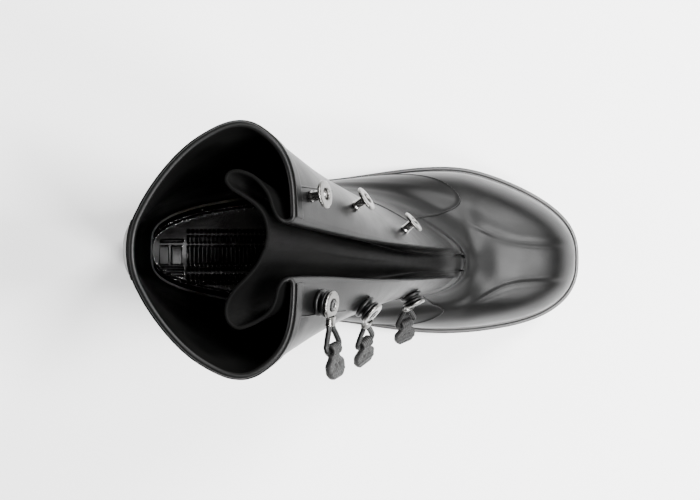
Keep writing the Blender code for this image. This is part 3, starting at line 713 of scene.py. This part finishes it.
# ---- sole -------------------------------------------------------------------------------------------
HEEL_BREAST, FOREFOOT, TOE_SPRING_FROM, TOE_SPRING = 0.056, 0.104, 0.215, 0.005


def outline_point(angle, offset):
    """The feather line in plan, moved outward by offset."""
    here = upper_point(angle, 0)
    along = upper_point(angle + 0.01, 0) - upper_point(angle - 0.01, 0)
    return here - Vector((along.y, -along.x, 0)).normalized() * offset


def outline_at(x, offset, side):
    """Sideways position of the offset feather line at x, on one side."""
    low, high = 0.0, math.pi
    for _ in range(26):
        middle = (low + high) / 2
        if outline_point(side * middle, offset).x < x:
            low = middle
        else:
            high = middle
    return outline_point(side * low, offset).y


def toe_spring(x):
    return TOE_SPRING * smooth(TOE_SPRING_FROM, RINGS[0][2], x)


def underside(x):
    """Height of the sole between its lugs: a raised arch between heel and forefoot."""
    arch = smooth(HEEL_BREAST - 0.002, HEEL_BREAST + 0.003, x) * (1 - smooth(FOREFOOT - 0.004, FOREFOOT, x))
    return CLEAT + (ARCH_HEIGHT - CLEAT) * arch + toe_spring(x)


def ring_angles(count):
    return [2 * math.pi * index / count - 0.16 * math.sin(4 * math.pi * index / count)
            for index in range(count)]


def make_rand():
    """The strip round the sole: a side with two fine grooves, a ledge, and a channel at the upper."""
    low = OUTSOLE_TOP + GAP
    grid = []
    for angle in ring_angles(360):
        outward = (outline_point(angle, 1.0) - outline_point(angle, 0.0)).normalized()
        rim, foot, head = outline_point(angle, SOLE_EDGE), outline_point(angle, 0.0), upper_point(angle, 0.4)
        head = head - outward * 0.0006

        def at(base, offset, z):
            place = base + outward * offset
            return Vector((place.x, place.y, z))

        line = [at(foot, -0.0006, low), at(rim, -0.0006, low), at(rim, -0.0001, low + 0.0004)]
        for groove in (0.0165, 0.0188):
            line += [at(rim, 0, groove - 0.0006), at(rim, -0.0005, groove), at(rim, 0, groove + 0.0006)]
        line += [at(rim, 0, RAND_TOP - 0.0008), at(rim, -0.0002, RAND_TOP - 0.0003),
                 at(rim, -0.0006, RAND_TOP), at(rim, -0.0016, RAND_TOP + 0.0001),
                 at(rim, -0.0022, RAND_TOP - 0.0001), at(rim, -0.0025, RAND_TOP - 0.0007),
                 at(rim, -0.0029, RAND_TOP - 0.0008), at(head, 0.0, RAND_TOP - 0.0002)]
        grid.append(line)
    mesh = bmesh.new()
    skin(mesh, grid, wrap_columns=True, wrap_rows=True)
    add_piece("foxing_rand", mesh, "sole_rubber", "boot", ("rand",), sharp=0.9)


def lug(mesh, corners, top, foot):
    """A tread block: four plan corners, its root height and its ground height, with eased edges."""
    middle = sum((Vector(corner) for corner in corners), Vector((0, 0))) / 4
    grid = []
    for inset, share in ((-0.0006, -0.15), (0.0, 0.25), (0.0003, 0.85), (0.0007, 1.0)):
        line = []
        for first, second, third in zip(corners[-1:] + corners[:-1], corners, corners[1:] + corners[:1]):
            corner = Vector(second)
            for neighbour in (Vector(first), Vector(third)):
                eased = corner + (neighbour - corner).normalized() * 0.0008
                eased += (middle - eased).normalized() * inset
                line.append(Vector((eased.x, eased.y, top + (foot(eased.x) - top) * share)))
        grid.append(line)
    skin(mesh, grid, wrap_columns=True, cap=True)


def make_outsole():
    mesh = bmesh.new()
    grid = []
    for index in range(1, 160):
        angle = math.pi * index / 160
        lateral, medial = outline_point(angle, SOLE_EDGE), outline_point(-angle, SOLE_EDGE)
        base = underside((lateral.x + medial.x) / 2)
        line = []
        for share, z in ((0.0, OUTSOLE_TOP), (-0.0003, OUTSOLE_TOP - 0.0006), (0.0, OUTSOLE_TOP - 0.0012),
                         (0.0, base + 0.0016), (0.0006, base + 0.0004), (0.0016, base)):
            inward = (medial - lateral).normalized() * share
            line.append(Vector((lateral.x + inward.x, lateral.y + inward.y, z)))
        for step in range(1, 12):
            place = lateral.lerp(medial, step / 12)
            line.append(Vector((place.x, place.y, base)))
        for share, z in ((0.0016, base), (0.0006, base + 0.0004), (0.0, base + 0.0016),
                         (0.0, OUTSOLE_TOP - 0.0012), (-0.0003, OUTSOLE_TOP - 0.0006), (0.0, OUTSOLE_TOP)):
            inward = (lateral - medial).normalized() * share
            line.append(Vector((medial.x + inward.x, medial.y + inward.y, z)))
        grid.append(line)
    skin(mesh, grid, wrap_columns=True, cap=True)
    pitch, groove, chevron = 0.0125, 0.0030, 0.20
    for start, end in ((RINGS[0][0] + 0.004, HEEL_BREAST - 0.001), (FOREFOOT + 0.003, RINGS[0][2] - 0.006)):
        rows = round((end - start) / pitch)
        step = (end - start) / rows
        for row in range(rows):
            near, far = start + step * row, start + step * (row + 1) - groove
            for side in (1, -1):
                outer = [outline_at(x, SOLE_EDGE - 0.0022, side) for x in (near, far)]
                if abs(outer[0]) < 0.008 or abs(outer[1]) < 0.008:
                    continue
                middle = -0.0015 * smooth(0.05, 0.2, near)
                for low, high in ((0.05, 0.47), (0.55, 1.0)):
                    corners = [(near, middle + (outer[0] - middle) * low),
                               (near, middle + (outer[0] - middle) * high),
                               (far, middle + (outer[1] - middle) * high),
                               (far, middle + (outer[1] - middle) * low)]
                    slant = [(x - chevron * 0.018 * (share - 0.5) * 2, y)
                             for (x, y), share in zip(corners, (low, high, high, low))]
                    if side < 0:
                        slant = slant[::-1]
                    lug(mesh, slant, underside((near + far) / 2), toe_spring)
    add_piece("sole_tread", mesh, "sole_rubber", "boot", ("outsole",), sharp=0.5)


# ---- footbed ----------------------------------------------------------------------------------------
BOARD_TOP, FOOTBED_TOP = 0.0194, 0.0235
RIB_PITCH, RIB_HEIGHT, RIBS_FROM, RIBS_TO = 0.00277, 0.0010, -0.001, 0.226
RIB_BANDS = ((0.0113, 0.0132), (0.0047, 0.0093), (-0.0096, 0.0027), (-0.0135, -0.0106),
             (-0.0198, -0.0160), (-0.0224, -0.0206))


def raised(value, low, high, edge=0.0006):
    """1 from low to high and 0 outside, with soft edges."""
    rise = smooth(low - edge / 2, low + edge / 2, value)
    return rise * (1 - smooth(high - edge / 2, high + edge / 2, value))


def footbed_relief(x, y):
    """Height over the footbed's plain top: rounded cross ribs in bands, panels and lines at the heel."""
    if x > RIBS_FROM - 0.0004:
        crest = math.sin(math.pi * (x - RIBS_FROM) / RIB_PITCH) ** 2 * raised(x, RIBS_FROM, RIBS_TO)
        return RIB_HEIGHT * crest * sum(raised(y, low, high, 0.0012) for low, high in RIB_BANDS)
    height = 0.0
    for low, high in ((-0.0187, -0.0128), (-0.0108, -0.0042)):
        height += (0.0007 - 0.04 * (y + 0.0033)) * raised(x, low, high) * raised(y, -0.0096, 0.0028)
    for low, high in ((-0.0128, -0.0112), (-0.0172, -0.0150), (0.0052, 0.0068)):
        height += 0.0007 * raised(x, -0.0180, -0.0030, 0.0012) * raised(y, low, high, 0.0010)
    return height


def make_footbed():
    inset = -(WALL + 0.0018)
    columns, rows = 150, 900
    first, last = RINGS[0][0] - inset + 0.0006, RINGS[0][2] + inset - 0.0006
    top = []
    for index in range(rows + 1):
        x = first + (last - first) * index / rows
        lateral, medial = outline_at(x, inset, 1), outline_at(x, inset, -1)
        line = []
        for step in range(columns + 1):
            share = step / columns
            y = lateral + (medial - lateral) * share
            edge = min(share, 1 - share) * (lateral - medial)
            rolled = 0.0012 * (1 - smooth(0.0, 0.0016, edge))
            lip = 0.0009 * bump(edge - 0.0035, 0.0014)
            pebble = 0.00035 * noise.noise(Vector((x, y, 0)) * 900) * (1 - smooth(0.003, 0.008, edge))
            line.append(Vector((x, y, FOOTBED_TOP + footbed_relief(x, y) + lip - rolled + pebble)))
        top.append(line)
    mesh = bmesh.new()
    rows_made = skin(mesh, top)
    low = [[mesh.verts.new((point.x, point.y, BOARD_TOP + GAP)) for point in (line[0], line[-1])]
           for line in top]
    for index in range(rows):
        mesh.faces.new((rows_made[index][0], rows_made[index + 1][0], low[index + 1][0], low[index][0]))
        mesh.faces.new((rows_made[index + 1][-1], rows_made[index][-1], low[index][1], low[index + 1][1]))
        mesh.faces.new((low[index][0], low[index + 1][0], low[index + 1][1], low[index][1]))
    mesh.faces.new(rows_made[0] + [low[0][1], low[0][0]])
    mesh.faces.new(rows_made[-1][::-1] + [low[-1][0], low[-1][1]])
    add_piece("ribbed_footbed", mesh, "footbed_rubber", "boot", ("footbed",), sharp=0.6)


# ---- studs ------------------------------------------------------------------------------------------
def make_stud(number, place):
    foot = -WALL - 0.0026
    turned_piece(f"stud_cap_{number}",
                 ((0.0026, HEAD_HIGH - 0.0005), (0.0031, HEAD_HIGH), (0.0056, HEAD_HIGH - 0.0002),
                  (0.0063, HEAD_HIGH - 0.0006), (0.0063, HEAD_LOW + 0.0005), (0.0057, HEAD_LOW),
                  (0.0019, HEAD_LOW), (0.0019, HEAD_LOW + 0.0003), (0.0026, HEAD_LOW + 0.0003)),
                 place, "nickel", "boot", (f"stud_head_{number}",))
    turned_piece(f"stud_stem_{number}",
                 ((0, HEAD_LOW + 0.0002), (0.0008, HEAD_LOW + 0.0002), (0.0011, HEAD_LOW + 0.0006),
                  (0.0015, HEAD_LOW + 0.0005), (0.0017, HEAD_LOW), (0.0017, HEAD_LOW - GAP),
                  (0.0023, HEAD_LOW - GAP), (0.0023, SEAT + 0.0012), (0.0026, SEAT + 0.0006),
                  (0.0026, SEAT - 0.0004),
                  (0.0019, SEAT - 0.0004), (0.0019, foot), (0, foot)),
                 place, "nickel", "boot", (f"stud_post_{number}",), closed=False, look=BRIGHT)
    make_backing(f"stud_backing_{number}", f"stud_washer_{number}", place)


def make_backing(name, node, place):
    low, high = -WALL - 0.0022, -WALL - 0.0010
    turned_piece(name, ((0.0023, high), (0.0036, high), (0.0040, high - 0.0004), (0.0040, low + 0.0003),
                        (0.0036, low), (0.0023, low)), place, "nickel", "boot", (node,))


# ---- closures ---------------------------------------------------------------------------------------
def smooth_path(points, steps=8):
    made = []
    last = len(points) - 1
    for index in range(last):
        row = [points[min(max(index + step, 0), last)] for step in (-1, 0, 1, 2)]
        for step in range(steps):
            made.append(Vector([hermite(low, high, (high - before) / 2, (after - low) / 2, step / steps)
                                for before, low, high, after in zip(*row)]))
    made.append(Vector(points[-1]))
    return made


def strand_section():
    """A flat oval with two grooves along each face."""
    section = []
    for index in range(32):
        angle = 2 * math.pi * index / 32
        x, y = 0.00150 * math.cos(angle), 0.00120 * math.sin(angle)
        depth = 0.22 * (bump(abs(x) - 0.00055, 0.00020))
        section.append((x, y * (1 - depth)))
    return section


def make_loop(number, place, bend):
    start = FERRULE_END - 0.0012
    half = ((start, 0.0014), (FERRULE_END + GAP, 0.0016), (start + 0.0035, 0.0022), (start + 0.0055, 0.0035),
            (BAR_AT - 0.0036, 0.0052), (BAR_AT - 0.0020, 0.0059), (BAR_AT - 0.0006, 0.0055),
            (BAR_AT - 0.0001, 0.0044), (BAR_AT, 0.0030), (BAR_AT, 0.0015), (BAR_AT, 0.0))
    route = list(half) + [(x, -y) for x, y in reversed(half[:-1])]
    path = []
    for x, y, z in smooth_path([(x, y, PLATE_MID) for x, y in route]):
        past = x - FERRULE_END
        path.append(place @ Vector((FERRULE_END + past * math.cos(bend), y, z + past * math.sin(bend))))
    up = place.to_3x3() @ Vector((-math.sin(bend), 0, math.cos(bend)))
    mesh = bmesh.new()
    sweep(mesh, path, strand_section(), up)
    add_piece(f"strand_loop_{number}", mesh, "fitting_rubber", f"closure_{number}", (f"loop_{number}",),
              sharp=1.0)


def make_plate(number, place):
    low, high = PLATE_MID - 0.0009, PLATE_MID + 0.0009
    mesh = bmesh.new()
    turn(mesh, rounded(((0.0031, high), (0.0057, high), (0.0063, high - 0.0005), (0.0063, low + 0.0005),
                        (0.0057, low), (0.0022, low), (0.0022, high - 0.0009), (0.0028, high - 0.0008))),
         place)
    along = (place @ Matrix.Translation((0.0052, 0, PLATE_MID)) @ Matrix.Rotation(math.pi / 2, 4, "Y")
             @ Matrix.Diagonal((0.62, 1.0, 1.0, 1.0)))
    length = FERRULE_END - 0.0052
    turn(mesh, rounded(((0.0028, length), (0.0032, length - 0.0002), (0.0032, length - 0.0008),
                        (0.0029, length - 0.0011), (0.0030, 0.0010), (0.0033, 0.0002), (0.0022, 0.0),
                        (0.0024, length)), 0.0002), along)
    add_piece(f"plate_and_ferrule_{number}", mesh, "nickel", f"closure_{number}",
              (f"swivel_plate_{number}",), sharp=0.9)


def make_bush(number, place):
    top = PLATE_MID - 0.0009 - GAP
    turned_piece(f"double_flange_bush_{number}",
                 ((0.0023, top), (0.0057, top), (0.0061, top - 0.0004), (0.0061, top - 0.0012),
                  (0.0056, top - 0.0016), (0.0041, top - 0.0018), (0.0041, SEAT + 0.0015),
                  (0.0057, SEAT + 0.0013), (0.0062, SEAT + 0.0008), (0.0062, SEAT - 0.0002),
                  (0.0058, SEAT - 0.0005), (0.0023, SEAT - 0.0005)),
                 place, "fitting_rubber", "boot", (f"flange_bushing_{number}",), radius=0.0004)


def make_rivet(number, place):
    head, foot = PLATE_MID + GAP, -WALL - 0.0026
    turned_piece(f"closure_rivet_{number}",
                 ((0, head + 0.0006), (0.0009, head + 0.0006), (0.0012, head + 0.0009),
                  (0.0022, head + 0.0008), (0.0027, head + 0.0004), (0.0027, head), (0.0018, head),
                  (0.0018, foot), (0, foot)),
                 place, "nickel", "boot", (f"rivet_{number}",), closed=False, look=RIVET_SHADE_LOOK)
    make_backing(f"rivet_backing_{number}", f"rivet_washer_{number}", place)


def tab_half_width(x):
    """Half width of the paddle at a distance from the bar: a neck, shoulders and a round end."""
    length, neck, half, corner = TAB_END - BAR_AT, 0.0036, 0.0072, 0.0056
    width = neck + (half - neck) * smooth(0.0028, 0.0066, x)
    if x > length - corner:
        share = (x - (length - corner)) / corner
        width = half - corner + corner * math.sqrt(max(1 - share ** 2, 0.0))
    return width


def make_tab(number, place, bend):
    reach = BAR_AT - FERRULE_END
    bar = Vector((FERRULE_END + reach * math.cos(bend), 0, PLATE_MID + reach * math.sin(bend)))
    hinge = place @ Matrix.Translation(bar) @ Matrix.Rotation(-bend, 4, "Y")
    length, thick = TAB_END - BAR_AT, 0.0015
    steps, across = 44, 36
    faces = []
    for side in (1, -1):
        grid = []
        for step in range(steps + 1):
            x = 0.0021 + (length - 0.0021) * step / steps
            half = tab_half_width(x)
            line = []
            for column in range(across + 1):
                share = math.sin(math.pi * (column / across - 0.5))
                y = half * share
                border = min(half * (1 - abs(share)) * 1.6, length - x)
                height = thick * math.sqrt(max(1 - (1 - min(border / 0.0016, 1.0)) ** 2, 0.0))
                height -= 0.0009 * (bump(math.hypot(x - 0.0068, y - 0.0016), 0.0008)
                                    + bump(math.hypot(x - 0.0068, y + 0.0016), 0.0008))
                level = min(border / 0.001, 1)
                height += 0.00009 * noise.noise(Vector((x, y, side + number)) * 1500) * level
                ridge = 0.0003 * bump(x - 0.0096 - 12 * y * y, 0.0006)
                line.append(hinge @ Vector((x, y, side * max(height + ridge * level, 0))))
            grid.append(line)
        faces.append(grid)
    mesh = bmesh.new()
    shell = [top + under[::-1][1:-1] for top, under in zip(*faces)]
    skin(mesh, shell, wrap_columns=True, cap=True)
    along_bar = hinge @ Matrix.Rotation(math.pi / 2, 4, "X")
    profile, wraps, width = [], 6, 0.0074
    for index in range(wraps * 6 + 1):
        share = index / (wraps * 6)
        groove = 0.00028 * (1 - abs(math.sin(math.pi * wraps * share)))
        profile.append((BARREL - groove, width * (0.5 - share)))
    bore = STRAND + 0.0004
    profile = [(bore, width / 2), (bore + 0.0006, width / 2)] + profile + [
        (bore + 0.0006, -width / 2), (bore, -width / 2)]
    turn(mesh, profile, along_bar)
    add_piece(f"pebbled_tab_{number}", mesh, "tab_rubber", f"tab_{number}", (f"pull_tab_{number}",),
              sharp=1.0)


def make_closures():
    for number, (level, angle) in enumerate(STUDS, 1):
        make_stud(number, closure_frame(angle, level))
    for number, (level, angle) in enumerate(LOOPS, 1):
        place = closure_frame(-angle, level, HANG_TURN[number - 1])
        bend = HANG_BEND[number - 1]
        make_bush(number, place)
        make_plate(number, place)
        make_rivet(number, place)
        make_loop(number, place, bend)
        make_tab(number, place, bend)


def dress_hidden_nodes():
    """The sealed inner layers keep the model's shape and take a finished material."""
    for node, look in (("midsole_filler", SOLE_RUBBER), ("shank", STEEL), ("insole_board", BOARD)):
        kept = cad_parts[node]
        kept.data.materials.clear()
        kept.data.materials.append(look)


make_camera()
make_studio()
make_upper()
make_overlays()
make_seams()
make_rand()
make_outsole()
make_footbed()
make_closures()
dress_hidden_nodes()

bpy.context.view_layer.update()
